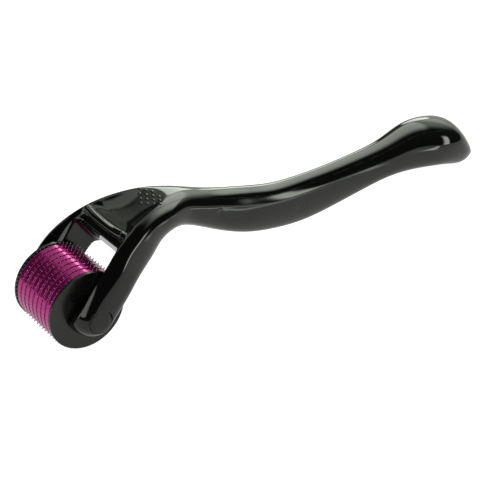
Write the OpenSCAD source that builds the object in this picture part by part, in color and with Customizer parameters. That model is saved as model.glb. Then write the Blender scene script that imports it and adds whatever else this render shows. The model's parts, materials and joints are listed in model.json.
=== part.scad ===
// Hand roller with a long curved handle, a forked head and a drum of nine needle discs.
// +X runs from the drum to the tail, Y is the drum's axle, +Z is up, Z = 0 is the surface it rests on.

/* [Handle] */
// distance of the axle from the middle of the overall length
axle_x = -64.4; // [-80:0.1:-50]
// tail-down tilt that sets needle tips and tail on one surface, degrees
rest_tilt = 3.38; // [3:0.05:4.5]
// wall thickness of the two shells
wall = 1.7; // [1.2:0.1:2.0]
// squareness of the arm sections (2 is an ellipse)
arm_squareness = 3.5; // [3:0.1:5]
// squareness of the grip sections
grip_squareness = 2.0; // [1.9:0.1:3]
// steps between two rows of the section table
sub_steps = 2; // [1:1:3]

/* [Head] */
// half distance between the inner faces of the two arms
fork_half_gap = 9.9; // [9.7:0.05:10.4]
// drop of the front edge of the web under the rims
front_drop = 2.1; // [1.6:0.1:2.8]
// drop of the front ledge under the rims
ledge_drop = 0.9; // [0.6:0.1:1.4]
// drop of the channel between the ledge and the lip
channel_drop = 1.6; // [1:0.1:2.2]
// drop of the lip under the rims
lip_drop = 1.0; // [0.6:0.1:1.6]
// depth of the thumb scoop under the rims
scoop_depth = 2.7; // [1.5:0.1:3]
// rise of the underside between the arms
belly_rise = 2.2; // [1:0.1:3]
// radius of the rounded arm ends
arm_end_r = 6.1; // [5.5:0.1:7]
// half width over the two arms at the axle
arm_end_half = 15.9; // [15:0.1:16.3]
// radius of the anti-slip bumps
bump_r = 0.45; // [0.3:0.05:0.6]
// height of the anti-slip bumps
bump_rise = 0.35; // [0.2:0.05:0.6]
// distance between neighbouring bumps
bump_pitch = 1.9; // [1.6:0.1:2.4]
// place of the middle of the patch of bumps behind the axle
bump_x = 25.0; // [24.6:0.1:25.4]
// half length of the patch of bumps
bump_patch_x = 2.75; // [2.3:0.05:2.9]
// half width of the patch of bumps
bump_patch_y = 5.2; // [4.5:0.1:5.8]

/* [Locating pegs] */
// radius of the cover's pegs
peg_r = 0.9; // [0.7:0.1:1]
// gap around a peg in its socket
peg_clearance = 0.1; // [0.05:0.05:0.2]
// length of a peg under the cover
peg_length = 4.0; // [3:0.5:5]
// outer radius of a socket
boss_r = 1.7; // [1.5:0.1:1.9]

/* [Axle] */
// radius of the steel pin
pin_r = 1.5; // [1.2:0.1:2]
// radial running clearance of the hub on the pin
pin_clearance = 0.05; // [0.02:0.01:0.1]
// half length of the pin
pin_half_length = 14.8; // [13:0.1:14.8]
// radius of the cap over each pin end
cap_r = 3.2; // [2.8:0.1:3.6]
// thickness of each cap at its rim
cap_rim = 0.55; // [0.4:0.05:0.8]
// crown of each cap above its rim
cap_crown = 0.3; // [0.1:0.05:0.5]
// thickness of each thrust washer
washer_t = 0.3; // [0.2:0.05:0.4]
// outer radius of each thrust washer
washer_r = 2.8; // [2.4:0.1:3.2]

/* [Drum] */
// radius of the end flanges
flange_r = 11.0; // [10.5:0.1:11.5]
// thickness of the end flanges
flange_t = 0.9; // [0.7:0.05:1.1]
// bevel on the flange rims
flange_bevel = 0.22; // [0.1:0.02:0.3]
// half width of the drum over its flanges
drum_half = 9.3; // [9.2:0.05:9.4]
// radius of the bands at their crown
band_r = 10.8; // [10.4:0.1:11]
// crown height of the bands
band_crown = 0.14; // [0.06:0.02:0.3]
// thickness of a needle disc
disc_t = 0.4; // [0.3:0.05:0.5]
// radius of a needle disc between its needles
disc_r = 10.5; // [10.1:0.1:10.7]
// radius over the needle tips
tip_r = 11.5; // [11.3:0.1:11.8]
// needles on one disc
needle_count = 60; // [40:4:72]
// width of a needle at its root
needle_root = 0.24; // [0.2:0.02:0.4]
// width of a needle at its tip
needle_tip = 0.06; // [0.04:0.01:0.1]
// radius of the hub that the discs and bands are stacked on
hub_r = 4.0; // [3:0.1:5]
// height of the hub's key above its surface
key_rise = 0.8; // [0.5:0.1:1.2]
// width of the hub's key
key_width = 2.0; // [1.5:0.1:3]
// clearance around the key
key_clearance = 0.05; // [0.02:0.01:0.1]

/* [Hidden] */
$fn = 96;
needle_rows = 9;
axle_z = tip_r;
stack_half = drum_half - flange_t;
row_pitch = (2 * stack_half - disc_t) / (needle_rows - 1);
band_w = row_pitch - disc_t;
cap_seat_y = arm_end_half - 0.7;
// how deep each bump is rooted in the cover
bump_root = 0.6;
// a length along the axle that reaches past everything
far = 20;
peg_places = [50, 74, 120];
// row of the section table where the bumps begin
bump_row = 7;

black = [0.02, 0.022, 0.024];
magenta = [0.55, 0.0, 0.32];
steel = [0.62, 0.63, 0.65];

// Section table, axle at 0, 0: along, up, backward lean in degrees, top, bottom, half width.
ARM_LEAN = 49;
sections = [
  [4.6, 5.3, 49, 7.0, 6.9, 15.8],
  [8.8, 9.8, 46, 6.7, 7.5, 14.7],
  [11.8, 12.4, 35, 6.1, 8.7, 13.3],
  [13.0, 13.3, 36, 6.0, 9.1, 12.9],
  [14.8, 14.4, 34, 5.8, 9.3, 12.3],
  [17.5, 15.5, 28, 5.5, 9.5, 11.5],
  [22.5, 16.8, 16, 5.1, 8.8, 9.7],
  [28.0, 16.9, 4, 4.6, 7.1, 8.2],
  [34.0, 15.2, -4, 5.0, 5.6, 6.2],
  [40.0, 12.2, -6, 5.8, 5.1, 5.3],
  [47.0, 8.8, -4, 6.9, 5.6, 4.8],
  [56.0, 5.6, 0, 7.7, 6.5, 4.8],
  [66.0, 3.7, 0, 7.2, 7.0, 4.6],
  [76.0, 3.0, 0, 7.1, 7.3, 4.3],
  [87.0, 3.3, 0, 6.8, 6.7, 4.3],
  [98.0, 3.8, 0, 6.9, 5.4, 4.5],
  [108.0, 4.6, 0, 7.5, 4.9, 5.1],
  [117.0, 5.3, 0, 9.0, 5.9, 6.5],
  [124.8, 4.6, -8, 9.0, 6.1, 8.0],
  [131.3, 3.3, -18, 7.3, 6.2, 8.2],
  [135.8, 1.3, -30, 4.3, 5.7, 7.3],
  [138.7, -0.4, -36, 2.2, 4.2, 5.4],
  [140.3, -1.6, -38, 0.9, 1.6, 2.6]
];

// rounded arm end, from its tip to the axle
end_angles = [78, 62, 46, 30, 15, 0];
arm_end = [
  for (a = end_angles)
    [-arm_end_r * sin(a) * cos(ARM_LEAN), -arm_end_r * sin(a) * sin(ARM_LEAN), ARM_LEAN,
     arm_end_r * cos(a), arm_end_r * cos(a), arm_end_half]
];

function catmull(a, b, c, d, t) =
  0.5 * (2 * b + (c - a) * t + (2 * a - 5 * b + 4 * c - d) * t * t + (3 * b - a - 3 * c + d) * t * t * t);

rows = concat([arm_end[len(arm_end) - 1]], sections);
last_row = len(rows) - 1;
smooth_rows = [
  for (i = [0 : last_row - 1])
    for (s = [(i == 0 ? 1 : 0) : sub_steps - 1])
      catmull(rows[max(i - 1, 0)], rows[i], rows[i + 1], rows[min(i + 2, last_row)], s / sub_steps)
];
stations = concat(arm_end, smooth_rows, [rows[last_row]]);
last = len(stations) - 1;

// Grid of N x N cells in each section, on concentric rings; the outermost cells are the wall.
N = 10;
M = N / 2;

function clamp01(t) = min(1, max(0, t));
function ease(t) = clamp01(t) * clamp01(t) * (3 - 2 * clamp01(t));
function curve(c, e) = sign(c) * pow(abs(c), 2 / e);

// how much a section belongs to the fork (1) or to the grip (0)
function forkness(s) = ease((24 - s[0]) / 12);
function squareness(s) = grip_squareness + (arm_squareness - grip_squareness) * ease((26 - s[0]) / 18);

// angle of a grid node around its ring
function ring_angle(u, v, r) =
  r == 0 ? 0
  : abs(v) < r ? (u > 0 ? 45 * v / r : 180 - 45 * v / r)
  : v > 0 ? 90 - 45 * u / r : 270 + 45 * u / r;

function ring_node(s, a, b) =
  let (
    u = a - M,
    v = b - M,
    r = max(abs(u), abs(v)),
    ang = ring_angle(u, v, r),
    e = squareness(s),
    h = v >= 0 ? s[3] : s[4],
    k = r == M ? 1 : r / (M - 1),
    w = r == M ? 0 : min(wall, 0.45 * min(s[5], s[3], s[4]))
  )
  [curve(cos(ang), e) * (s[5] - w) * k, curve(sin(ang), e) * (h - w) * k];

function column_node(s, a, b) =
  a == 0 || a == N ? ring_node(s, a, b)
  : let (
      y = fork_half_gap * (a - M) / (M - 1),
      e = squareness(s),
      f = pow(max(0, 1 - pow(min(abs(y) / s[5], 0.98), e)), 1 / e),
      top = s[3] * f,
      low = -s[4] * f,
      t = min(wall, 0.3 * (top - low))
    )
    [y, b == 0 ? low : b == N ? top : low + t + (top - low - 2 * t) * (b - 1) / (N - 2)];

// how far the middle of the top lies under the rims: front ledge, channel, lip, scoop, bumps
top_drop = [
  [11.8, front_drop], [12.4, ledge_drop + 0.5], [13.0, ledge_drop], [13.9, channel_drop], [14.8, lip_drop],
  [16.1, scoop_depth], [20.0, scoop_depth], [25.2, scoop_depth * 0.45], [29.0, scoop_depth * 0.15], [33.0, 0]
];

// share of the full drop at a place across the head: 1 in the middle, 0 on the rims
function across(s, y) = max(0, 1 - pow(abs(y) / (s[5] * 0.84), 5));

// how far the middle of the underside lies above the arms' lower edges
function hollow_rise(s) = belly_rise * ease((s[0] - 9) / 2) * ease((30 - s[0]) / 12);

function node_at(s, a, b) =
  let (
    f = forkness(s),
    p = f * column_node(s, a, b) + (1 - f) * ring_node(s, a, b),
    inner = a > 0 && a < N,
    drop = inner && b >= N - 1 ? lookup(s[0], top_drop) * across(s, p[0]) : 0,
    rise = inner && b <= 1 ? hollow_rise(s) * across(s, p[0]) : 0
  )
  [p[0], p[1] - drop + rise];

// axle coordinates to the resting pose
function rest(p) = [
  axle_x + p[0] * cos(rest_tilt) + p[2] * sin(rest_tilt),
  p[1],
  axle_z - p[0] * sin(rest_tilt) + p[2] * cos(rest_tilt)
];

function place(s, q) = rest([s[0] - sin(s[2]) * q[1], q[0], s[1] + cos(s[2]) * q[1]]);

lattice = [for (s = stations) for (a = [0 : N]) for (b = [0 : N]) place(s, node_at(s, a, b))];

function id(i, a, b) = (i * (N + 1) + a) * (N + 1) + b;

// first station at or behind a place along the head
function station_at(x) = min([for (i = [len(arm_end) : last]) if (stations[i][0] > x - 0.01) i]);

web_from = station_at(11.8);
web_to = station_at(14.8);
cover_from = web_to;
cover_to = last - 2;

// cells of the top cover: the top wall between the shoulders
function is_cover(i, a, b) = b == N - 1 && a >= 1 && a <= N - 2 && i >= cover_from && i < cover_to;

// cells of the frame: arms, front web, trough and tail end
function is_frame(i, a, b) =
  i < web_from ? (a == 0 || a == N - 1)
  : i < web_to ? true
  : i >= last - 2 ? true
  : is_cover(i, a, b) ? false
  : (a == 0 || a == N - 1 || b == 0 || b == N - 1);

function filled(part, i, a, b) =
  i < 0 || a < 0 || b < 0 || i >= last || a >= N || b >= N ? false
  : part == 0 ? is_frame(i, a, b) : is_cover(i, a, b);

function both(q, out) =
  out ? [[q[0], q[1], q[2]], [q[0], q[2], q[3]]]
  : [[q[0], q[2], q[1]], [q[0], q[3], q[2]]];

function skin(part) = [
  for (i = [0 : last - 1]) for (a = [0 : N - 1]) for (b = [0 : N - 1]) if (filled(part, i, a, b))
    each concat(
      filled(part, i + 1, a, b) ? []
        : both([id(i + 1, a, b), id(i + 1, a + 1, b), id(i + 1, a + 1, b + 1), id(i + 1, a, b + 1)], false),
      filled(part, i - 1, a, b) ? []
        : both([id(i, a, b), id(i, a + 1, b), id(i, a + 1, b + 1), id(i, a, b + 1)], true),
      filled(part, i, a + 1, b) ? []
        : both([id(i, a + 1, b), id(i + 1, a + 1, b), id(i + 1, a + 1, b + 1), id(i, a + 1, b + 1)], true),
      filled(part, i, a - 1, b) ? []
        : both([id(i, a, b), id(i + 1, a, b), id(i + 1, a, b + 1), id(i, a, b + 1)], false),
      filled(part, i, a, b + 1) ? []
        : both([id(i, a, b + 1), id(i + 1, a, b + 1), id(i + 1, a + 1, b + 1), id(i, a + 1, b + 1)], false),
      filled(part, i, a, b - 1) ? []
        : both([id(i, a, b), id(i + 1, a, b), id(i + 1, a + 1, b), id(i, a + 1, b)], true)
    )
];

module solid_of(part) {
  faces = skin(part);
  polyhedron(points = lattice, faces = faces, convexity = 8);
}

// along the axle, from y0 to y1
module on_axle(y0, y1) {
  translate([axle_x, y0, axle_z]) rotate([-90, 0, 0]) linear_extrude(y1 - y0) children();
}

// turned about the axle, profile in [radius, y]
module turned() {
  translate([axle_x, 0, axle_z]) rotate([-90, 0, 0]) rotate_extrude() children();
}

module rod(r, y0, y1) {
  translate([axle_x, y0, axle_z]) rotate([-90, 0, 0]) cylinder(r = r, h = y1 - y0);
}

// a height read from the section table at a place along the grip
function top_inside(x) = lookup(x, [for (s = sections) [s[0], s[1] + s[3]]]) - wall;
function floor_inside(x) = lookup(x, [for (s = sections) [s[0], s[1] - s[4]]]) + wall;

module upright(x, z0, z1, r) {
  translate(rest([x, 0, z0])) rotate([0, rest_tilt, 0]) cylinder(r = r, h = z1 - z0);
}

module boss(x) {
  difference() {
    upright(x, floor_inside(x) - wall / 2, top_inside(x) - 0.8, boss_r);
    upright(x, floor_inside(x) + 1, top_inside(x), peg_r + peg_clearance);
  }
}

// staggered bumps inside an oval patch on the head
module bumps() {
  columns = floor(bump_patch_y / (bump_pitch * sin(60)));
  for (c = [-columns : columns])
    for (k = [-2 : 2])
      let (
        x = (k + (abs(c) % 2 == 0 ? -0.15 : 0.35)) * bump_pitch,
        y = c * bump_pitch * sin(60),
        along = bump_x + x - rows[bump_row][0],
        t = along / (rows[bump_row + 1][0] - rows[bump_row][0]),
        s = catmull(rows[bump_row - 1], rows[bump_row], rows[bump_row + 1], rows[bump_row + 2], t),
        top = s[3] * pow(1 - pow(abs(y) / s[5], squareness(s)), 1 / squareness(s))
          - lookup(s[0], top_drop) * across(s, y)
      )
      if (pow(x / bump_patch_x, 2) + pow(y / bump_patch_y, 2) < 1)
        translate(place(s, [y, top - bump_root])) rotate([0, rest_tilt - s[2], 0])
          cylinder(r = bump_r, h = bump_root + bump_rise);
}

module handle_frame() {
  color(black) difference() {
    union() {
      solid_of(0);
      for (x = peg_places) boss(x);
    }
    rod(pin_r, -far, far);
    rod(cap_r, cap_seat_y, far);
    rod(cap_r, -far, -cap_seat_y);
  }
}

module top_cover() {
  color(black) union() {
    solid_of(1);
    for (x = peg_places) upright(x, top_inside(x) - peg_length, top_inside(x) + wall / 2, peg_r);
    bumps();
  }
}

module axle_pin() {
  color(steel) rod(pin_r, -pin_half_length, pin_half_length);
}

module cap(side) {
  color(black) mirror([0, side < 0 ? 1 : 0, 0]) turned() polygon([
    [0, cap_seat_y],
    [cap_r, cap_seat_y],
    [cap_r, cap_seat_y + cap_rim],
    [cap_r * 0.85, cap_seat_y + cap_rim + cap_crown * 0.6],
    [cap_r * 0.5, cap_seat_y + cap_rim + cap_crown * 0.9],
    [0, cap_seat_y + cap_rim + cap_crown]
  ]);
}

module axle_cap_near() {
  cap(-1);
}

module axle_cap_far() {
  cap(1);
}

module washer(y0) {
  color(steel) difference() {
    rod(washer_r, y0, y0 + washer_t);
    rod(pin_r, y0 - 1, y0 + 1);
  }
}

module thrust_washer_near() {
  washer(-fork_half_gap);
}

module thrust_washer_far() {
  washer(fork_half_gap - washer_t);
}

// outline of the hub with its key, grown by a clearance
module hub_outline(grow) {
  circle(r = hub_r);
  translate([-key_width / 2 - grow, 0]) square([key_width + 2 * grow, hub_r + key_rise + grow]);
}

module roller_hub() {
  color(black) difference() {
    on_axle(-stack_half, stack_half) hub_outline(0);
    rod(pin_r + pin_clearance, -drum_half, drum_half);
  }
}

module flange(side) {
  color(black) mirror([0, side < 0 ? 1 : 0, 0]) turned() polygon([
    [pin_r + pin_clearance, stack_half],
    [flange_r - flange_bevel, stack_half],
    [flange_r, stack_half + flange_bevel],
    [flange_r, drum_half - flange_bevel],
    [flange_r - flange_bevel, drum_half],
    [pin_r + pin_clearance, drum_half]
  ]);
}

module end_flange_near() {
  flange(-1);
}

module end_flange_far() {
  flange(1);
}

module disc_outline(phase) {
  step = 360 / needle_count;
  difference() {
    polygon([
      for (i = [0 : needle_count - 1])
        let (
          a = phase + i * step,
          root = asin(needle_root / 2 / disc_r),
          tip = asin(needle_tip / 2 / tip_r)
        )
        each [
          disc_r * [cos(a - root), sin(a - root)],
          tip_r * [cos(a - tip), sin(a - tip)],
          tip_r * [cos(a + tip), sin(a + tip)],
          disc_r * [cos(a + root), sin(a + root)]
        ]
    ]);
    hub_outline(key_clearance);
  }
}

module disc(n) {
  y0 = -stack_half + (n - 1) * row_pitch;
  color(steel) on_axle(y0, y0 + disc_t) disc_outline(n % 2 == 1 ? 90 : 90 + 180 / needle_count);
}

module band(n) {
  y0 = -stack_half + (n - 1) * row_pitch + disc_t;
  color(magenta) difference() {
    turned() polygon([
      [hub_r, y0],
      [band_r - band_crown, y0],
      [band_r - band_crown * 0.35, y0 + band_w * 0.16],
      [band_r, y0 + band_w * 0.38],
      [band_r, y0 + band_w * 0.62],
      [band_r - band_crown * 0.35, y0 + band_w * 0.84],
      [band_r - band_crown, y0 + band_w],
      [hub_r, y0 + band_w]
    ]);
    on_axle(y0 - 1, y0 + band_w + 1) hub_outline(key_clearance);
  }
}

module needle_disc_1() { disc(1); }
module needle_disc_2() { disc(2); }
module needle_disc_3() { disc(3); }
module needle_disc_4() { disc(4); }
module needle_disc_5() { disc(5); }
module needle_disc_6() { disc(6); }
module needle_disc_7() { disc(7); }
module needle_disc_8() { disc(8); }
module needle_disc_9() { disc(9); }
module band_1() { band(1); }
module band_2() { band(2); }
module band_3() { band(3); }
module band_4() { band(4); }
module band_5() { band(5); }
module band_6() { band(6); }
module band_7() { band(7); }
module band_8() { band(8); }

handle_frame();
top_cover();
axle_pin();
axle_cap_near();
axle_cap_far();
thrust_washer_near();
thrust_washer_far();
roller_hub();
end_flange_near();
end_flange_far();
needle_disc_1();
needle_disc_2();
needle_disc_3();
needle_disc_4();
needle_disc_5();
needle_disc_6();
needle_disc_7();
needle_disc_8();
needle_disc_9();
band_1();
band_2();
band_3();
band_4();
band_5();
band_6();
band_7();
band_8();
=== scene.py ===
import json
import math

import bmesh
import bpy
import numpy as np
from mathutils import Matrix, Vector


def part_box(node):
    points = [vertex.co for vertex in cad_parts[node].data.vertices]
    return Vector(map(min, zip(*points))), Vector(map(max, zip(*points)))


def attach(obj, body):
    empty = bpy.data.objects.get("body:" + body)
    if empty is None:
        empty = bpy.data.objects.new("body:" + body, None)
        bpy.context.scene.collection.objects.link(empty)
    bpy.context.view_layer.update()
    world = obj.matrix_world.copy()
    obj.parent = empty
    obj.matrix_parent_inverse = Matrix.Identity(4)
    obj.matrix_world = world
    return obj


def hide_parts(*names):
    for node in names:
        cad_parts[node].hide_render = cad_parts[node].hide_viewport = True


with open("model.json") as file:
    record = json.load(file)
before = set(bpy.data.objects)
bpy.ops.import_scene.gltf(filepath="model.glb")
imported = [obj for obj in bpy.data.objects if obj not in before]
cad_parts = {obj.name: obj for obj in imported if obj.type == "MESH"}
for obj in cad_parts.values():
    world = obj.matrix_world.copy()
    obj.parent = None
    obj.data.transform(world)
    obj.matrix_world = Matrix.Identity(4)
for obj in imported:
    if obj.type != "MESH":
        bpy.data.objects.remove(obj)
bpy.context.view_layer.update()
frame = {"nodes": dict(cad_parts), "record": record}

# ---------------------------------------------------------------- sizes, in millimetres from the axle
MM = 0.001
# tail-down tilt that rests needle tips and tail on one surface
REST_TILT = math.radians(3.38)
# half distance between the arms
FORK_HALF_GAP = 9.9
# a place on the web's front face, along and up, and that face's lean in degrees
WEB_AT = (9.4, 15.8)
WEB_LEAN = 31.0
WINDOW_CORNER_R = 2.0
# where the cover begins, along the head
LIP_AT = 14.8
# lip bar: its place along and up, sag in the middle, radius in the middle and at the ends, half length
LIP_BAR = (11.8, 17.6)
LIP_SAG = 0.7
LIP_R = (0.9, 1.25)
LIP_HALF = 8.2
# sink marks over the inner bosses, along and up
SINK_MARKS = ((44.9, 10.3), (73.5, 3.3))
CAP_CLEARANCE = 0.07
PIN_LOW, PIN_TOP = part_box("axle_pin")
AXLE = (PIN_TOP + PIN_LOW) / 2
CAP_LOW, CAP_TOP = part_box("axle_cap_far")
CAP_R = (CAP_TOP.x - CAP_LOW.x) / 2 / MM
CAP_SEAT = CAP_LOW.y / MM
CAP_FACE = CAP_TOP.y / MM
FLANGE_LOW, FLANGE_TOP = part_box("end_flange_far")
FLANGE_R = (FLANGE_TOP.x - FLANGE_LOW.x) / 2 / MM
FLANGE_IN = FLANGE_LOW.y / MM
FLANGE_OUT = FLANGE_TOP.y / MM
PIN_R = (PIN_TOP.x - PIN_LOW.x) / 2 / MM
HUB_R = 4.0
HUB_CLEARANCE = 0.06
BAND_R = (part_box("band_1")[1].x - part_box("band_1")[0].x) / 2 / MM
TIP_R = 11.5
DISC_R = 10.5
NEEDLES = 60
# a needle's distance from the axle and its radius there
NEEDLE_SHAPE = ((DISC_R - 0.1, 0.06), (BAND_R, 0.065), (TIP_R - 0.4, 0.055), (TIP_R - 0.05, 0.015))
# patch of bumps: its middle, the pitch, and half its length and width
BUMP_X, BUMP_PITCH, BUMP_PATCH = 25.0, 1.9, (2.75, 5.2)

# loft rows: along, up, backward lean in degrees, top, bottom, half width
ROWS = np.array([
    (0.0, 0.0, 49, 6.8, 6.7, 16.4),
    (3.6, 4.1, 49, 7.8, 7.0, 16.2),
    (6.6, 7.5, 48, 7.5, 7.4, 15.7),
    (8.8, 9.8, 46, 6.9, 7.7, 15.0),
    (13.0, 13.3, 38, 6.1, 9.2, 13.1),
    (17.5, 15.5, 28, 5.5, 9.5, 11.5),
    (22.5, 16.8, 16, 5.1, 8.8, 9.7),
    (28.0, 16.9, 4, 4.6, 7.1, 8.2),
    (34.0, 15.2, -4, 5.0, 5.6, 6.2),
    (40.0, 12.2, -6, 5.8, 5.1, 5.3),
    (47.0, 8.8, -4, 6.9, 5.6, 4.8),
    (56.0, 5.6, 0, 7.7, 6.5, 4.8),
    (66.0, 3.7, 0, 7.2, 7.0, 4.6),
    (76.0, 3.0, 0, 7.1, 7.3, 4.3),
    (87.0, 3.3, 0, 6.8, 6.7, 4.3),
    (98.0, 3.8, 0, 6.9, 5.4, 4.5),
    (108.0, 4.6, 0, 7.5, 4.9, 5.1),
    (117.0, 5.3, 0, 9.0, 5.9, 6.5),
    (124.8, 4.6, -8, 9.0, 6.1, 8.0),
    (131.3, 3.3, -18, 7.3, 6.2, 8.2),
    (135.8, 1.3, -30, 4.3, 5.7, 7.3),
    (138.7, -0.4, -36, 2.2, 4.2, 5.4),
    (140.3, -1.6, -38, 0.9, 1.6, 2.6),
    (140.9, -2.2, -38, 0.1, 0.2, 0.4),
])
# squareness of the arm and grip sections, where 2 is an ellipse
ARM_SQUARE, GRIP_SQUARE = 3.0, 2.0


class Curve:
    """Natural cubic spline, so that reflections run on without a kink."""

    def __init__(self, knots, values):
        n = len(knots)
        h = np.diff(knots)
        a = np.zeros((n, n))
        b = np.zeros(values.shape)
        a[0, 0] = a[-1, -1] = 1
        for i in range(1, n - 1):
            a[i, i - 1 : i + 2] = h[i - 1], 2 * (h[i - 1] + h[i]), h[i]
            b[i] = 6 * ((values[i + 1] - values[i]) / h[i] - (values[i] - values[i - 1]) / h[i - 1])
        self.knots, self.values, self.bend = knots, values, np.linalg.solve(a, b)

    def __call__(self, t, slope=False):
        k = np.clip(np.searchsorted(self.knots, t, side="right") - 1, 0, len(self.knots) - 2)
        h = (self.knots[k + 1] - self.knots[k])[..., None]
        w = (t - self.knots[k])[..., None] / h
        u = 1 - w
        v0, v1, m0, m1 = self.values[k], self.values[k + 1], self.bend[k], self.bend[k + 1]
        out = v0 * u + v1 * w + h**2 / 6 * ((u**3 - u) * m0 + (w**3 - w) * m1)
        if not slope:
            return out
        return out, (v1 - v0) / h + h / 6 * ((1 - 3 * u**2) * m0 + (3 * w**2 - 1) * m1)


_knots = np.concatenate([[0], np.cumsum(np.hypot(*np.diff(ROWS[:, :2], axis=0).T))])
LOFT = Curve(_knots, ROWS)
T_END = _knots[-1]
SCAN_T = np.linspace(0, T_END, 300)
SCAN = LOFT(SCAN_T)

# how high the head's top stands over the row centres: front edge, ledge, lip, thumb scoop, neck
_levels = np.array([
    (8.0, 2.6), (10.0, 2.9), (11.6, 3.0), (12.6, 3.05), (13.6, 3.3), (14.6, 3.75), (15.5, 3.55), (16.6, 2.9),
    (18.2, 2.3), (20.5, 2.15), (23.0, 2.5), (26.0, 3.2), (29.5, 4.1), (33.5, 5.2), (38.0, 7.2), (46.0, 11.0),
])
LEVELS = Curve(_levels[:, 0], _levels[:, 1:])


def ease(t):
    t = np.clip(t, 0, 1)
    return t * t * (3 - 2 * t)


def smooth_max(a, b, k):
    h = np.clip(0.5 + 0.5 * (a - b) / k, 0, 1)
    return b * (1 - h) + a * h + k * h * (1 - h)


def smooth_min(a, b, k):
    return -smooth_max(-a, -b, k)


def find_row(x, z):
    """First guess of the row place for points in the x, z plane."""
    lean = np.radians(SCAN[:, 2])
    out = np.zeros(len(x))
    for part in np.array_split(np.arange(len(x)), max(1, len(x) // 8000)):
        dx = x[part][:, None] - SCAN[:, 0]
        dz = z[part][:, None] - SCAN[:, 1]
        g = dx * np.cos(lean) + dz * np.sin(lean)
        w = dz * np.cos(lean) - dx * np.sin(lean)
        cross = (g[:, :-1] >= 0) & (g[:, 1:] < 0)
        k = np.where(cross, np.abs(w[:, :-1]), 1e9).argmin(1)
        out[part] = np.where(cross.any(1), SCAN_T[k], np.where(g[:, 0] < 0, 0, T_END))
    return out


def station(x, z, t):
    """Row values at each point, distance past the loft's ends, and height over the row's centre."""
    for _ in range(3):
        row, d = LOFT(t, True)
        lean, turn = np.radians(row[..., 2]), np.radians(d[..., 2])
        dx, dz = x - row[..., 0], z - row[..., 1]
        c, s = np.cos(lean), np.sin(lean)
        slope = -(d[..., 0] * c + d[..., 1] * s) + turn * (dz * c - dx * s)
        t = np.clip(t - np.clip((dx * c + dz * s) / np.minimum(slope, -0.15), -1.5, 1.5), 0, T_END)
    row = LOFT(t)
    lean = np.radians(row[..., 2])
    dx, dz = x - row[..., 0], z - row[..., 1]
    c, s = np.cos(lean), np.sin(lean)
    past = np.where((t <= 0) | (t >= T_END), dx * c + dz * s, 0)
    return row, past, dz * c - dx * s


def handle_field(x, y, z, t):
    """Distance-like field of the one outer skin that the frame and the cover share."""
    row, past, w = station(x, z, t)
    along = row[..., 0]
    e = GRIP_SQUARE + (ARM_SQUARE - GRIP_SQUARE) * ease((26 - along) / 18)
    reach = np.hypot(w, np.where(past > 0, 2 * past, past))
    upper = np.where(past < 0, 0.5 + 0.5 * w / np.maximum(reach, 1e-6), w >= 0)
    high = row[..., 4] + (row[..., 3] - row[..., 4]) * upper
    rho = ((np.abs(y) / row[..., 5]) ** e + (reach / high) ** e + 1e-12) ** (1 / e)
    d = np.hypot(y, reach) * (1 - 1 / np.maximum(rho, 0.05))
    # the top of the head is sunk between its rims
    middle = LEVELS(along)[..., 0]
    dish = ease((along - 14.6) / 3)
    side = np.minimum(np.abs(y) / (0.86 * row[..., 5]), 1.3)
    level = middle + np.maximum(row[..., 3] - middle, 0) * side ** (8 - 5.2 * dish)
    d = smooth_max(d, np.where(along < 46, (w - level) * 0.78, -5), 0.6)
    # the lip bar in front of the thumb scoop
    sag = LIP_SAG * (1 - np.minimum(np.abs(y) / LIP_HALF, 1) ** 2)
    bar = np.hypot(x - LIP_BAR[0], z - LIP_BAR[1] + sag)
    bar = np.hypot(bar, np.maximum(np.abs(y) - LIP_HALF, 0))
    bar = bar - LIP_R[0] - (LIP_R[1] - LIP_R[0]) * np.minimum(np.abs(y) / LIP_HALF, 1) ** 2
    d = smooth_min(d, bar, 0.4)
    # the underside is drawn up between the arms
    rise = 3.0 * ease((along - 9) / 2) * ease((30 - along) / 12)
    across = 1 - np.minimum(np.abs(y) / 9.5, 1.3) ** 4
    d = smooth_max(d, np.where(along < 34, (rise * across - row[..., 4] - w) * 0.8, -5), 0.8)
    # the fork's slot, with round corners at the web
    c, s = math.cos(math.radians(WEB_LEAN)), math.sin(math.radians(WEB_LEAN))
    qa = np.abs(y) - FORK_HALF_GAP + WINDOW_CORNER_R
    qb = (x - WEB_AT[0]) * c + (z - WEB_AT[1]) * s + WINDOW_CORNER_R
    corner = np.hypot(np.maximum(qa, 0), np.maximum(qb, 0))
    slot = corner + np.minimum(np.maximum(qa, qb), 0) - WINDOW_CORNER_R
    rounding = 0.45 + 1.4 * ease((-2.5 - w) / 2.5)
    d = smooth_max(d, np.where(along < 30, -slot, -9), rounding)
    # faint sink marks over the inner bosses
    for mx, mz in SINK_MARKS:
        r = np.hypot(x - mx, z - mz)
        d = d + 0.1 * np.exp(-((r / 0.9) ** 2)) + 0.05 * np.exp(-(((r - 1.7) / 0.35) ** 2))
    # seats of the axle caps
    seat = np.maximum(np.hypot(x, z) - (CAP_R + CAP_CLEARANCE), CAP_SEAT - np.abs(y))
    return smooth_max(d, -seat, 0.12)


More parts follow.
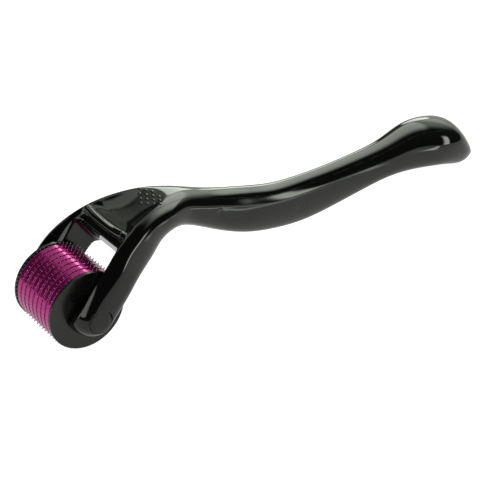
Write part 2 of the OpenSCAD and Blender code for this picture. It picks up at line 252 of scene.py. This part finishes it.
def surface_net(values, xs, ys, zs):
    """Surface nets on a rectilinear grid: vertices and outward quads."""
    inside = values < 0
    nx, ny, nz = values.shape
    corner = [(i, j, k) for i in (0, 1) for j in (0, 1) for k in (0, 1)]
    count = sum(inside[i : nx - 1 + i, j : ny - 1 + j, k : nz - 1 + k].astype(np.int8) for i, j, k in corner)
    ci, cj, ck = np.nonzero((count > 0) & (count < 8))
    index = np.full((nx - 1, ny - 1, nz - 1), -1, np.int32)
    index[ci, cj, ck] = np.arange(len(ci))
    total = np.zeros((len(ci), 3))
    hits = np.zeros(len(ci))
    for a in corner:
        for axis in range(3):
            if a[axis]:
                continue
            b = list(a)
            b[axis] = 1
            va = values[ci + a[0], cj + a[1], ck + a[2]]
            vb = values[ci + b[0], cj + b[1], ck + b[2]]
            m = (va < 0) != (vb < 0)
            f = np.where(m, va / np.where(m, va - vb, 1), 0)
            pa = np.stack([xs[ci + a[0]], ys[cj + a[1]], zs[ck + a[2]]], 1)
            pb = np.stack([xs[ci + b[0]], ys[cj + b[1]], zs[ck + b[2]]], 1)
            total += np.where(m[:, None], pa + (pb - pa) * f[:, None], 0)
            hits += m
    quads = []
    for axis in range(3):
        o1, o2 = [(1, 2), (2, 0), (0, 1)][axis]
        lo = [slice(None)] * 3
        hi = [slice(None)] * 3
        lo[axis] = slice(0, -1)
        hi[axis] = slice(1, None)
        a, b = inside[tuple(lo)], inside[tuple(hi)]
        pos = np.stack(np.nonzero(a != b), 1)
        out = a[tuple(pos.T)]
        ring = []
        for s1, s2 in ((1, 1), (0, 1), (0, 0), (1, 0)):
            c = pos.copy()
            c[:, o1] -= s1
            c[:, o2] -= s2
            ring.append(index[tuple(c.T)])
        q = np.stack(ring, 1)
        q[~out] = q[~out][:, ::-1]
        quads.append(q)
    return total / hits[:, None], np.concatenate(quads)


def gradient(p, t, h=0.02):
    """Central differences of the handle's field."""
    g = np.zeros_like(p)
    for i in range(3):
        step = np.zeros(3)
        step[i] = h
        g[:, i] = (handle_field(*(p + step).T, t) - handle_field(*(p - step).T, t)) / (2 * h)
    return g


def settle(points, rounds=3):
    """Moves net vertices on to the field's surface; returns them with their normals."""
    t = find_row(points[:, 0], points[:, 2])
    for _ in range(rounds):
        g = gradient(points, t)
        step = handle_field(*points.T, t)[:, None] * g / np.maximum((g**2).sum(1), 0.05)[:, None]
        size = np.linalg.norm(step, axis=1, keepdims=True)
        points = points - step * np.minimum(1, 0.12 / np.maximum(size, 1e-9))
    g = gradient(points, t)
    return points, g / np.maximum(np.linalg.norm(g, axis=1, keepdims=True), 1e-9)


def to_row(p):
    """Axle millimetres to the row frame's metres."""
    c, s = math.cos(REST_TILT), math.sin(REST_TILT)
    return np.stack([
        AXLE.x + MM * (p[:, 0] * c + p[:, 2] * s),
        AXLE.y + MM * p[:, 1],
        AXLE.z + MM * (p[:, 2] * c - p[:, 0] * s),
    ], 1)


def turn(n):
    """Directions from the axle's frame to the row frame."""
    c, s = math.cos(REST_TILT), math.sin(REST_TILT)
    return np.stack([n[:, 0] * c + n[:, 2] * s, n[:, 1], n[:, 2] * c - n[:, 0] * s], 1)


def handle_net():
    """Outer skin of the whole handle: vertices, normals and quads. The grid is finest over the head."""
    k = 1.0
    xs = np.concatenate([
        np.arange(-7.4, 8, 0.26 * k), np.arange(8, 20, 0.17 * k), np.arange(20, 36, 0.26 * k),
        np.arange(36, 124, 0.6 * k), np.arange(124, 143, 0.4 * k),
    ])
    half = np.arange(0.12 * k, 17, 0.24 * k)
    zs = np.concatenate([np.arange(-8, 14, 0.27 * k), np.arange(14, 24.5, 0.18 * k)])
    gx, gz = np.meshgrid(xs, zs, indexing="ij")
    t = find_row(gx.ravel(), gz.ravel()).reshape(gx.shape)
    # every third layer is worked out in full, the others only near the skin
    values = np.empty((len(xs), len(half), len(zs)), np.float32)
    for j in range(0, len(half), 3):
        layer = handle_field(gx, np.full_like(gx, half[j]), gz, t)
        near = np.nonzero(np.abs(layer) < 1.6)
        for m in range(j, min(j + 3, len(half))):
            values[:, m] = layer
            if m > j:
                y = np.full(len(near[0]), half[m])
                values[:, m][near] = handle_field(gx[near], y, gz[near], t[near])
    ys = np.concatenate([-half[::-1], half])
    values = np.concatenate([values[:, ::-1], values], axis=1)
    points, quads = surface_net(values, xs, ys, zs)
    return settle(points) + (quads,)


def seam_field(p):
    """Under 0 on the top cover, over 0 on the frame."""
    row, _, w = station(p[:, 0], p[:, 2], find_row(p[:, 0], p[:, 2]))
    fork = ease((34 - row[:, 0]) / 22)
    side = np.abs(p[:, 1]) - row[:, 5] * (0.664 + 0.11 * fork)
    front = (LIP_AT + 0.4) - row[:, 0]
    return smooth_max(np.maximum(side, -w - 0.4), front * 1.1, 0.8)


def clip(points, normals, quads, g, gap=0.05, depth=0.45):
    """Keeps the side where g is under 0 and rolls its edge inwards, which leaves a fine groove."""
    tris = np.concatenate([quads[:, [0, 1, 2]], quads[:, [0, 2, 3]]])
    inside = g < 0
    n_in = inside[tris].sum(1)
    faces = tris[n_in == 3].tolist()
    made, new_p, new_n, rim = {}, [], [], []

    def crossing(a, b):
        key = (a, b) if a < b else (b, a)
        if key not in made:
            f = np.clip(g[a] / (g[a] - g[b]), 0.02, 0.98)
            made[key] = len(points) + len(new_p)
            new_p.append(points[a] + (points[b] - points[a]) * f)
            n = normals[a] + (normals[b] - normals[a]) * f
            new_n.append(n / np.linalg.norm(n))
        return made[key]

    for tri in tris[(n_in == 1) | (n_in == 2)].tolist():
        k = [inside[v] for v in tri]
        lone = k.index(sum(k) == 1)
        a, b, c = tri[lone], tri[(lone + 1) % 3], tri[(lone + 2) % 3]
        ab, ac = crossing(a, b), crossing(a, c)
        if sum(k) == 1:
            faces.append([a, ab, ac])
            rim.append((ab, ac))
        else:
            faces += [[ab, b, c], [ab, c, ac]]
            rim.append((ac, ab))
    points = np.concatenate([points, np.array(new_p)])
    normals = np.concatenate([normals, np.array(new_n)])
    inward = {}
    for a, b in rim:
        side = np.cross(normals[a], points[b] - points[a])
        side = side / max(np.linalg.norm(side), 1e-9)
        for v in (a, b):
            inward[v] = inward.get(v, 0) + side
    lip, root, extra_p, extra_n = {}, {}, [], []
    for v, side in inward.items():
        side = side / max(np.linalg.norm(side), 1e-9)
        p, n = points[v].copy(), normals[v]
        points[v] = p + side * gap
        shoulder = p + side * gap * 0.3
        for ring, q, m in ((lip, shoulder - n * 0.06, n * 0.5 - side), (root, shoulder - n * depth, -side)):
            ring[v] = len(points) + len(extra_p)
            extra_p.append(q)
            extra_n.append(m / np.linalg.norm(m))
    points = np.concatenate([points, np.array(extra_p)])
    normals = np.concatenate([normals, np.array(extra_n)])
    for a, b in rim:
        faces += [[b, a, lip[a], lip[b]], [lip[b], lip[a], root[a], root[b]]]
    used = np.unique(np.concatenate([np.ravel(f) for f in faces]))
    number = np.full(len(points), -1)
    number[used] = np.arange(len(used))
    return points[used], normals[used], [[int(number[v]) for v in f] for f in faces]


def bump_domes():
    """Low domes for the thumb, staggered in an oval patch, each rooted in the cover."""
    points, normals, faces = [], [], []
    sides = 14
    profile = [(0.56, -0.12, 80), (0.5, 0.02, 60), (0.42, 0.13, 42), (0.28, 0.22, 22), (0.13, 0.26, 9)]
    for c in range(-3, 4):
        for k in range(-2, 3):
            x = (k + (0.35 if c % 2 else -0.15)) * BUMP_PITCH
            y = c * BUMP_PITCH * math.sin(math.radians(60))
            if (x / BUMP_PATCH[0]) ** 2 + (y / BUMP_PATCH[1]) ** 2 >= 1:
                continue
            x += BUMP_X
            p = np.array([[x, y, 20.0]])
            t = find_row(p[:, 0], p[:, 2])
            for _ in range(12):
                p[:, 2] -= handle_field(*p.T, t)
                t = find_row(p[:, 0], p[:, 2])
            n = gradient(p, t)[0]
            n /= np.linalg.norm(n)
            side = np.cross([0, 1, 0], n)
            side /= np.linalg.norm(side)
            other = np.cross(n, side)
            base = len(points)
            for r, h, lean in profile:
                for i in range(sides):
                    a = 2 * math.pi * i / sides
                    out = side * math.cos(a) + other * math.sin(a)
                    points.append(p[0] + out * r + n * h)
                    normals.append(out * math.sin(math.radians(lean)) + n * math.cos(math.radians(lean)))
            points.append(p[0] + n * 0.27)
            normals.append(n)
            top = len(points) - 1
            for ring in range(len(profile) - 1):
                for i in range(sides):
                    a, b = base + ring * sides + i, base + ring * sides + (i + 1) % sides
                    faces.append([a, b, b + sides, a + sides])
            last = base + (len(profile) - 1) * sides
            for i in range(sides):
                faces.append([last + i, last + (i + 1) % sides, top])
    return np.array(points), np.array(normals), faces


def join(*parts):
    points, normals, faces, base = [], [], [], 0
    for p, n, f in parts:
        points.append(p)
        normals.append(n)
        faces += [[v + base for v in face] for face in f]
        base += len(p)
    return np.concatenate(points), np.concatenate(normals), faces


def turned(profile, radius, steps=144):
    """Solid of revolution about the axle from a closed profile of (radius, y), its corners rounded."""
    n = len(profile)
    if sum(profile[i - 1][0] * profile[i][1] - profile[i - 1][1] * profile[i][0] for i in range(n)) < 0:
        profile = profile[::-1]
    ring = []
    for i in range(n):
        p = np.array(profile[i], float)
        a, b = np.array(profile[i - 1], float) - p, np.array(profile[(i + 1) % n], float) - p
        la, lb = np.linalg.norm(a), np.linalg.norm(b)
        a, b = a / la, b / lb
        half = math.acos(np.clip(a @ b, -0.9999, 1)) / 2
        cut = min(radius / math.tan(half), 0.45 * la, 0.45 * lb)
        r = cut * math.tan(half)
        centre = p + (a + b) / np.linalg.norm(a + b) * (r / math.sin(half))
        outward = 1 if a[0] * b[1] - a[1] * b[0] < 0 else -1
        na, nb = (p + a * cut - centre) / r, (p + b * cut - centre) / r
        for k in range(5):
            m = na * (1 - k / 4) + nb * (k / 4)
            m = m / np.linalg.norm(m)
            ring.append((centre + m * r, m * outward))
    angle = 2 * math.pi * np.arange(steps) / steps

    def swept(q):
        return np.stack([q[0] * np.cos(angle), np.full(steps, q[1]), q[0] * np.sin(angle)], 1)

    points = np.concatenate([swept(p) for p, m in ring])
    normals = np.concatenate([swept(m) for p, m in ring])
    faces = []
    for k in range(len(ring)):
        for i in range(steps):
            a, b = k * steps + i, k * steps + (i + 1) % steps
            c, d = (k + 1) % len(ring) * steps + (i + 1) % steps, (k + 1) % len(ring) * steps + i
            faces.append([a, d, c, b])
    return points, normals, faces


def needles(y, phase):
    """Round tapered needles standing on the rim of one disc."""
    sides = 7
    points, normals, faces = [], [], []
    for i in range(NEEDLES):
        a = math.radians(phase + i * 360 / NEEDLES) + REST_TILT
        out, side = np.array([math.cos(a), 0, math.sin(a)]), np.array([-math.sin(a), 0, math.cos(a)])
        mid = np.array([0, y, 0])
        base = len(points)
        for r, w in NEEDLE_SHAPE:
            for k in range(sides):
                b = 2 * math.pi * k / sides
                across = side * math.cos(b) + np.array([0, 1, 0]) * math.sin(b)
                points.append(out * r + across * w + mid)
                normals.append(across * 0.98 + out * 0.2)
        points.append(out * TIP_R + mid)
        normals.append(out)
        last = base + (len(NEEDLE_SHAPE) - 1) * sides
        for ring in range(base, last, sides):
            for k in range(sides):
                a, b = ring + k, ring + (k + 1) % sides
                faces.append([a, a + sides, b + sides, b])
        faces += [[last + k, last + sides, last + (k + 1) % sides] for k in range(sides)]
    return np.array(points), np.array(normals), faces


def piece(name, mesh, material, body, node):
    """Makes a scene object from a mesh about the axle, hangs it on the body that it rides on, and hides the
    CAD node that it stands for.
    """
    points, normals, faces = mesh
    me = bpy.data.meshes.new(name)
    me.from_pydata(to_row(points).tolist(), [], faces)
    me.polygons.foreach_set("use_smooth", np.ones(len(me.polygons), bool))
    normals = turn(normals / np.linalg.norm(normals, axis=1, keepdims=True))
    me.normals_split_custom_set_from_vertices(normals.tolist())
    me.update()
    me.materials.append(material)
    ob = bpy.data.objects.new(name, me)
    bpy.context.scene.collection.objects.link(ob)
    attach(ob, body)
    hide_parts(node)
    return ob


# ---------------------------------------------------------------- materials
def node_material(name):
    m = bpy.data.materials.new(name)
    m.use_nodes = True
    nt = m.node_tree
    nt.nodes.clear()
    out = nt.nodes.new("ShaderNodeOutputMaterial")
    bsdf = nt.nodes.new("ShaderNodeBsdfPrincipled")
    nt.links.new(bsdf.outputs[0], out.inputs[0])
    return m, nt, bsdf


def texture(nt, kind, scale, **inputs):
    coord = nt.nodes.new("ShaderNodeTexCoord")
    tex = nt.nodes.new(kind)
    nt.links.new(coord.outputs["Object"], tex.inputs["Vector"])
    tex.inputs["Scale"].default_value = scale
    for key, value in inputs.items():
        tex.inputs[key].default_value = value
    return tex


def ramp(nt, source, low, high, a, b):
    r = nt.nodes.new("ShaderNodeMapRange")
    r.inputs["From Min"].default_value = low
    r.inputs["From Max"].default_value = high
    r.inputs["To Min"].default_value = a
    r.inputs["To Max"].default_value = b
    nt.links.new(source, r.inputs["Value"])
    return r.outputs["Result"]


def mix_colour(nt, factor, a, b):
    m = nt.nodes.new("ShaderNodeMix")
    m.data_type = "RGBA"
    nt.links.new(factor, m.inputs[0])
    m.inputs[6].default_value = (*a, 1)
    m.inputs[7].default_value = (*b, 1)
    return m.outputs[2]


def fade(nt, source, full, none, power):
    """Power where the source reaches full, nothing where it reaches none."""
    f = nt.nodes.new("ShaderNodeMapRange")
    f.interpolation_type = "SMOOTHSTEP"
    f.inputs["From Min"].default_value = min(full, none)
    f.inputs["From Max"].default_value = max(full, none)
    f.inputs["To Min"].default_value = power if full < none else 0
    f.inputs["To Max"].default_value = 0 if full < none else power
    nt.links.new(source, f.inputs["Value"])
    return f.outputs["Result"]


def combine(nt, how, a, b):
    """Math node on two values, each a number or a socket."""
    m = nt.nodes.new("ShaderNodeMath")
    m.operation = how
    for socket, v in zip(m.inputs, (a, b)):
        if isinstance(v, (int, float)):
            socket.default_value = v
        else:
            nt.links.new(v, socket)
    return m.outputs[0]


def bump(nt, bsdf, height, strength, distance):
    b = nt.nodes.new("ShaderNodeBump")
    b.inputs["Strength"].default_value = strength
    b.inputs["Distance"].default_value = distance
    nt.links.new(height, b.inputs["Height"])
    nt.links.new(b.outputs[0], bsdf.inputs["Normal"])


def moulded_black(name, dark, light, rough, wave):
    """Injection-moulded ABS: near black, glossy, with a trace of flow and handling haze."""
    m, nt, bsdf = node_material(name)
    haze = texture(nt, "ShaderNodeTexNoise", 90, Detail=4, Roughness=0.6)
    fine = texture(nt, "ShaderNodeTexNoise", 1400, Detail=2, Roughness=0.5)
    nt.links.new(mix_colour(nt, haze.outputs["Fac"], dark, light), bsdf.inputs["Base Color"])
    nt.links.new(ramp(nt, haze.outputs["Fac"], 0.35, 0.7, rough[0], rough[1]), bsdf.inputs["Roughness"])
    bsdf.inputs["IOR"].default_value = 1.52
    bump(nt, bsdf, fine.outputs["Fac"], wave, 0.00004)
    return m


def magenta_plastic():
    """Deep-dyed glossy plastic: the colour comes from inside, the highlights stay pale."""
    m, nt, bsdf = node_material("magenta_plastic")
    cloud = texture(nt, "ShaderNodeTexNoise", 260, Detail=3, Roughness=0.6)
    colour = mix_colour(nt, cloud.outputs["Fac"], (0.5, 0.0015, 0.235), (0.6, 0.002, 0.285))
    nt.links.new(colour, bsdf.inputs["Base Color"])
    nt.links.new(ramp(nt, cloud.outputs["Fac"], 0.3, 0.7, 0.2, 0.26), bsdf.inputs["Roughness"])
    bsdf.inputs["Metallic"].default_value = 0.8
    bsdf.inputs["Coat Weight"].default_value = 0.5
    bsdf.inputs["Coat Roughness"].default_value = 0.05
    fine = texture(nt, "ShaderNodeTexNoise", 2200, Detail=2)
    bump(nt, bsdf, fine.outputs["Fac"], 0.06, 0.00003)
    return m


def metal(name, dark, light, rough):
    m, nt, bsdf = node_material(name)
    grain = texture(nt, "ShaderNodeTexNoise", 1800, Detail=3, Roughness=0.7)
    nt.links.new(mix_colour(nt, grain.outputs["Fac"], dark, light), bsdf.inputs["Base Color"])
    nt.links.new(ramp(nt, grain.outputs["Fac"], 0.3, 0.7, rough[0], rough[1]), bsdf.inputs["Roughness"])
    bsdf.inputs["Metallic"].default_value = 1.0
    bump(nt, bsdf, grain.outputs["Fac"], 0.08, 0.00003)
    return m


GLOSS = moulded_black(
    "gloss_black_plastic", (0.002, 0.0023, 0.002), (0.0035, 0.004, 0.0036), (0.045, 0.09), 0.05,
)
SATIN = moulded_black(
    "satin_black_plastic", (0.011, 0.012, 0.011), (0.018, 0.02, 0.018), (0.2, 0.28), 0.12,
)
MAGENTA = magenta_plastic()
NEEDLE = metal("needle_steel", (0.5, 0.42, 0.48), (0.7, 0.6, 0.66), (0.35, 0.5))
STEEL = metal("axle_steel", (0.5, 0.51, 0.52), (0.66, 0.67, 0.68), (0.2, 0.32))

MATERIAL_OF_SLOT = {
    "black_gloss": GLOSS,
    "black_satin": SATIN,
    "magenta_gloss": MAGENTA,
    "needle_steel": NEEDLE,
    "steel": STEEL,
}
for entry in frame["record"]["subparts"]:
    ob = frame["nodes"][entry["node"]]
    ob.data.materials.clear()
    ob.data.materials.append(MATERIAL_OF_SLOT[entry["material_slot"]])


# ---------------------------------------------------------------- the handle's two shells
points, normals, quads = handle_net()
seam = seam_field(points)
frame_skin = clip(points, normals, quads, -seam)
cover_skin = join(clip(points, normals, quads, seam), bump_domes())
piece("frame_shell", frame_skin, GLOSS, "handle", "handle_frame")
piece("cover_shell", cover_skin, GLOSS, "handle", "top_cover")

# ---------------------------------------------------------------- axle caps and drum
for name, side in (("near", -1), ("far", 1)):
    cap = [
        (0.02, CAP_SEAT), (CAP_R, CAP_SEAT), (CAP_R, CAP_FACE - 0.3), (CAP_R * 0.72, CAP_FACE - 0.1),
        (0.02, CAP_FACE),
    ]
    mesh = turned([(r, side * y) for r, y in cap], 0.16)
    piece("cap_" + name, mesh, GLOSS, "handle", "axle_cap_" + name)
    flange = [
        (PIN_R + 0.05, FLANGE_IN), (FLANGE_R, FLANGE_IN), (FLANGE_R, FLANGE_OUT - 0.08),
        (FLANGE_R - 0.3, FLANGE_OUT), (PIN_R + 0.05, FLANGE_OUT),
    ]
    mesh = turned([(r, side * y) for r, y in flange], 0.12, 192)
    piece("flange_" + name, mesh, SATIN, "roller", "end_flange_" + name)
HOLE_R = HUB_R + HUB_CLEARANCE
for n in range(1, 10):
    low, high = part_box("needle_disc_%d" % n)
    y0, y1 = low.y / MM, high.y / MM
    plate = turned([(HOLE_R, y0), (DISC_R, y0), (DISC_R, y1), (HOLE_R, y1)], 0.05)
    row = needles((y0 + y1) / 2, 90 if n % 2 else 90 + 180 / NEEDLES)
    piece("needle_row_%d" % n, join(plate, row), NEEDLE, "roller", "needle_disc_%d" % n)
for n in range(1, 9):
    low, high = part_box("band_%d" % n)
    y0, y1 = low.y / MM + 0.02, high.y / MM - 0.02
    ring = turned([(HOLE_R, y0), (BAND_R, y0), (BAND_R, y1), (HOLE_R, y1)], 0.16, 192)
    piece("band_ring_%d" % n, ring, MAGENTA, "roller", "band_%d" % n)

# ---------------------------------------------------------------- camera, floor and light
# the camera's turn, rise and distance from the point that it looks at, in axle millimetres
CAMERA_TURN = math.radians(-36.36)
CAMERA_RISE = math.radians(31.83)
CAMERA_AWAY = 400.0
LOOK_AT = np.array([[55.05, 0.0, -3.63]])
LENS = 106.98
SENSOR_WIDTH = 36
LIGHT_COLOUR = (0.93, 1.0, 0.88, 1)
# glow of the dark room between the lights
AMBIENT = 0.03
# soft boxes: turn from +Y towards +X and rise in degrees, the angles where the fade starts and ends, strength
SOFT_BOXES = (
    (70, 40, 10, 35, 1.6),
    (66, 8, 14, 28, 1.0),
    (42, 17, 11, 12.5, 4.4),
    (290, 14, 9, 20, 2.0),
    (260, 30, 11, 19, 2.2),
    (3, 74, 12, 26, 1.3),
    (22, 38, 8, 18, 0.45),
)
# slanting strip of light: headings of its ends, strength, and the angles off its line and along it where the
# fade starts and ends
STRIP_ENDS = ((132, 18), (153, -14))
STRIP_POWER = 6.0
STRIP_HALF_WIDTH = (1.5, 4.5)
STRIP_REACH = (15, 23)

ct, st = math.cos(CAMERA_TURN), math.sin(CAMERA_TURN)
back = np.array([[st * math.cos(CAMERA_RISE), -ct * math.cos(CAMERA_RISE), math.sin(CAMERA_RISE)]])
eye = Vector(to_row(LOOK_AT + back * CAMERA_AWAY)[0])
b, r = Vector(turn(back)[0]), Vector(turn(np.array([[ct, st, 0.0]]))[0])
u = b.cross(r)
cam = bpy.data.cameras.new("camera")
cam.lens = LENS
cam.sensor_width = SENSOR_WIDTH
cam.clip_start = 0.01
cam_ob = bpy.data.objects.new("camera", cam)
cam_ob.matrix_world = Matrix((
    (r.x, u.x, b.x, eye.x), (r.y, u.y, b.y, eye.y), (r.z, u.z, b.z, eye.z), (0, 0, 0, 1),
))
bpy.context.scene.collection.objects.link(cam_ob)
bpy.context.scene.camera = cam_ob


def flat_square(name, segments, size):
    """A plain square about the origin, linked to the scene."""
    bm = bmesh.new()
    bmesh.ops.create_grid(bm, x_segments=segments, y_segments=segments, size=size)
    me = bpy.data.meshes.new(name)
    bm.to_mesh(me)
    ob = bpy.data.objects.new(name, me)
    bpy.context.scene.collection.objects.link(ob)
    return ob


# the floor glows in full for the camera, and at half strength on to the object
ground = flat_square("floor", 8, 3.0)
white, nt, bsdf = node_material("floor_white")
bsdf.inputs["Base Color"].default_value = (0.32, 0.32, 0.32, 1)
bsdf.inputs["Roughness"].default_value = 0.8
bsdf.inputs["Specular IOR Level"].default_value = 0.0
bsdf.inputs["Emission Color"].default_value = (1, 1, 0.985, 1)
seen = nt.nodes.new("ShaderNodeLightPath")
nt.links.new(ramp(nt, seen.outputs["Is Camera Ray"], 0, 1, 0.5, 1.0), bsdf.inputs["Emission Strength"])
ground.data.materials.append(white)


def light_card(name, corner_a, corner_b, height, borders, power, spin=0.0):
    """A glowing card that fades out over its borders and shines from one side only, towards the object.

    Corners and height are in axle millimetres, and the four borders are shares of its length and width.
    """
    (x0, y0), (x1, y1) = corner_a, corner_b
    ob = flat_square(name, 1, 0.5)
    ob.location = (AXLE.x + MM * (x0 + x1) / 2, MM * (y0 + y1) / 2, AXLE.z + MM * height)
    ob.scale = (MM * (x1 - x0), MM * (y1 - y0), 1)
    ob.rotation_euler = (math.pi if height > 0 else 0, 0, spin)
    m = bpy.data.materials.new(name)
    m.use_nodes = True
    nt = m.node_tree
    nt.nodes.clear()
    coord = nt.nodes.new("ShaderNodeTexCoord")
    split = nt.nodes.new("ShaderNodeSeparateXYZ")
    nt.links.new(coord.outputs["Object"], split.inputs[0])
    side = nt.nodes.new("ShaderNodeNewGeometry")
    glow = combine(nt, "SUBTRACT", 1, side.outputs["Backfacing"])
    # a card overhead is turned over, so its own Y runs the other way
    flip = -1 if height > 0 else 1
    edges = (("X", -0.5), ("X", 0.5), ("Y", -0.5 * flip), ("Y", 0.5 * flip))
    for (axis, edge), border in zip(edges, borders):
        inner = edge - math.copysign(border, edge)
        glow = combine(nt, "MULTIPLY", glow, fade(nt, split.outputs[axis], inner, edge, 1))
    mixed = nt.nodes.new("ShaderNodeMixShader")
    clear = nt.nodes.new("ShaderNodeBsdfTransparent")
    shine = nt.nodes.new("ShaderNodeEmission")
    shine.inputs[0].default_value = LIGHT_COLOUR
    shine.inputs[1].default_value = power
    nt.links.new(glow, mixed.inputs[0])
    nt.links.new(clear.outputs[0], mixed.inputs[1])
    nt.links.new(shine.outputs[0], mixed.inputs[2])
    out = nt.nodes.new("ShaderNodeOutputMaterial")
    nt.links.new(mixed.outputs[0], out.inputs[0])
    ob.data.materials.append(m)


light_card("overhead_card", (70, -75), (230, 110), 100, (0.3, 0.2, 0.36, 0.16), 4.3)
light_card(
    "floor_strip", (86.5, -142.5), (276.5, -128.5), -11, (0.05, 0.05, 0.4, 0.4), 5.5, math.radians(-60.6),
)
light_card("arm_strip", (72, -87), (162, -75), -11, (0.15, 0.1, 0.4, 0.4), 3.0, math.radians(-36))

# a studio of soft boxes and one slanting strip around a dark room
world = bpy.data.worlds.new("studio")
world.use_nodes = True
wt = world.node_tree
direction = wt.nodes.new("ShaderNodeTexCoord").outputs["Generated"]


def heading(turn_deg, rise_deg):
    a, e = math.radians(turn_deg), math.radians(rise_deg)
    return Vector((math.sin(a) * math.cos(e), math.cos(a) * math.cos(e), math.sin(e)))


def towards(v):
    d = wt.nodes.new("ShaderNodeVectorMath")
    d.operation = "DOT_PRODUCT"
    wt.links.new(direction, d.inputs[0])
    d.inputs[1].default_value = v
    return d.outputs["Value"]


def near_heading(v, inner, outer, power):
    """Power within the inner angle of a heading, nothing beyond the outer one, both in degrees."""
    return fade(wt, towards(v), math.cos(math.radians(inner)), math.cos(math.radians(outer)), power)


total = AMBIENT
for turn_deg, rise_deg, inner, outer, power in SOFT_BOXES:
    total = combine(wt, "ADD", total, near_heading(heading(turn_deg, rise_deg), inner, outer, power))
ends = [heading(*end) for end in STRIP_ENDS]
across = ends[0].cross(ends[1]).normalized()
along = (ends[0] + ends[1]).normalized()
off_line = combine(wt, "ABSOLUTE", towards(across), 0)
full, none = (math.sin(math.radians(angle)) for angle in STRIP_HALF_WIDTH)
strip = fade(wt, off_line, full, none, STRIP_POWER)
total = combine(wt, "ADD", total, combine(wt, "MULTIPLY", strip, near_heading(along, *STRIP_REACH, 1)))
light = wt.nodes["Background"]
light.inputs[0].default_value = LIGHT_COLOUR
wt.links.new(total, light.inputs[1])
pale = wt.nodes.new("ShaderNodeBackground")
pale.inputs[0].default_value = (1, 1, 0.99, 1)
path = wt.nodes.new("ShaderNodeLightPath")
mixed = wt.nodes.new("ShaderNodeMixShader")
wt.links.new(path.outputs["Is Camera Ray"], mixed.inputs[0])
wt.links.new(light.outputs[0], mixed.inputs[1])
wt.links.new(pale.outputs[0], mixed.inputs[2])
wt.links.new(mixed.outputs[0], wt.nodes["World Output"].inputs[0])
bpy.context.scene.world = world
bpy.context.scene.view_settings.view_transform = "Standard"
